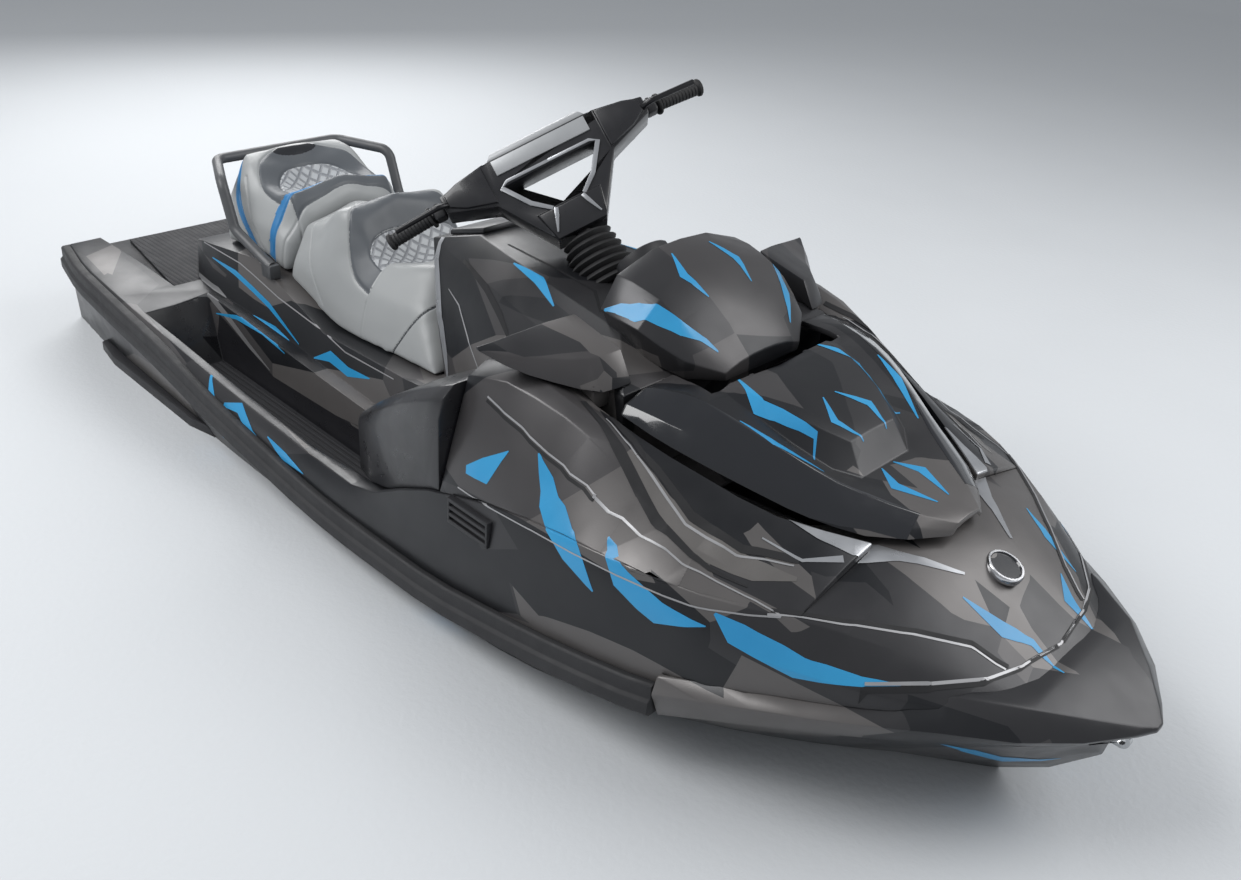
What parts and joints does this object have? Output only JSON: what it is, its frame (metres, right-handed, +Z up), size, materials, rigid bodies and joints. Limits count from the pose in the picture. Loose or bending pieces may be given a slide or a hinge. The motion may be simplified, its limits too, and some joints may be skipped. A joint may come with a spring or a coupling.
{
  "type": "personal watercraft",
  "caption": "Three-seat jet-drive watercraft with V hull, opening front hood, footwells, stepped seats, handlebar steering and a steerable jet nozzle with reverse gate.",
  "frame": {"origin": "on the waterline, amidships on the centre line", "axes": "+X towards the bow, +Y to port, +Z up"},
  "size_m": [3.374, 1.224, 1.3399],
  "materials": {
    "hull_gelcoat": "satin dark gelcoat",
    "wrap": "satin splinter-pattern vinyl wrap, greys, near-black and sky blue",
    "rail_rubber": "matt black rubber",
    "black_trim": "grained black plastic",
    "black_metal": "black painted steel",
    "seat_vinyl": "silver-grey marine vinyl with slate bolsters and blue accents",
    "grey_plastic": "grained dark grey plastic",
    "foam_mat": "grooved black foam",
    "pump_alloy": "cast aluminium",
    "engine_block": "plain block",
    "stainless": "polished stainless steel",
    "boot_rubber": "ribbed black rubber",
    "silver_trim": "satin silver",
    "grip_rubber": "ribbed black rubber"
  },
  "bodies": {
    "root": {"hull": "hull_gelcoat", "deck": "wrap", "rub_rail_left": "rail_rubber", "rub_rail_right": "rail_rubber", "bow_bumper": "wrap", "side_fairing_left": "wrap", "side_fairing_right": "wrap", "console": "wrap", "windshield": "wrap", "mirror_housing_left": "wrap", "mirror_housing_right": "wrap", "gauge_pod": "black_trim", "splash_guard_left": "black_trim", "splash_guard_right": "black_trim", "side_vent_left": "black_trim", "side_vent_right": "black_trim", "hood_hinge": "black_metal", "storage_tub": "black_trim", "seat_rear": "seat_vinyl", "seat_front": "seat_vinyl", "grab_handle": "grey_plastic", "floor_mat_left": "foam_mat", "floor_mat_right": "foam_mat", "platform_mat": "foam_mat", "sponson_left": "black_trim", "sponson_right": "black_trim", "ride_plate": "pump_alloy", "intake_grate": "pump_alloy", "pump_housing": "pump_alloy", "engine": "engine_block", "bow_eye": "stainless", "stern_eye_left": "stainless", "stern_eye_right": "stainless", "tow_eye": "stainless", "steering_boot": "boot_rubber"},
    "steering": {"handlebar": "black_metal", "steering_cover": "black_trim", "bar_pad": "silver_trim", "steering_column": "black_metal", "grip_left": "grip_rubber", "grip_right": "grip_rubber", "lever_left": "black_metal", "lever_right": "black_metal"},
    "hood": {"hood": "wrap"},
    "glovebox_lid": {"glovebox_lid": "wrap"},
    "impeller": {"impeller": "stainless", "drive_shaft": "stainless"},
    "trim_ring": {"trim_ring": "pump_alloy"},
    "steering_nozzle": {"steering_nozzle": "pump_alloy"},
    "reverse_gate": {"reverse_gate": "black_trim"},
    "boarding_step": {"boarding_step": "stainless"}
  },
  "joints": [
    {"name": "handlebar_steer", "type": "hinge", "parent": "root", "child": "steering", "pos_m": [0.034, 0, 0.881], "axis": [-0.7193, 0, 0.6947], "range_deg": [-1, 75]},
    {"name": "nozzle_steer", "type": "hinge", "parent": "trim_ring", "child": "steering_nozzle", "pos_m": [-1.497, 0, -0.115], "axis": [0, 0, 1], "range_deg": [-44, 1]},
    {"name": "nozzle_trim", "type": "hinge", "parent": "root", "child": "trim_ring", "pos_m": [-1.497, 0, -0.115], "axis": [0, 1, 0], "range_deg": [-7, 7]},
    {"name": "reverse_gate_turn", "type": "hinge", "parent": "root", "child": "reverse_gate", "pos_m": [-1.435, 0, -0.115], "axis": [0, -1, 0], "range_deg": [0, 55]},
    {"name": "impeller_spin", "type": "hinge", "parent": "root", "child": "impeller", "pos_m": [-1.249, 0, -0.115], "axis": [1, 0, 0], "continuous": true},
    {"name": "hood_open", "type": "hinge", "parent": "root", "child": "hood", "pos_m": [0.775, 0, 0.607], "axis": [0, -1, 0], "range_deg": [0, 50]},
    {"name": "glovebox_lid_open", "type": "hinge", "parent": "root", "child": "glovebox_lid", "pos_m": [-0.089, 0, 0.68], "axis": [0, 1, 0], "range_deg": [0, 65]},
    {"name": "boarding_step_fold", "type": "hinge", "parent": "root", "child": "boarding_step", "pos_m": [-1.645, 0, 0.035], "axis": [0, -1, 0], "range_deg": [0, 160]}
  ],
  "couplings": [
    {"joint": "nozzle_steer", "follows": "handlebar_steer", "ratio": -0.58108}
  ]
}
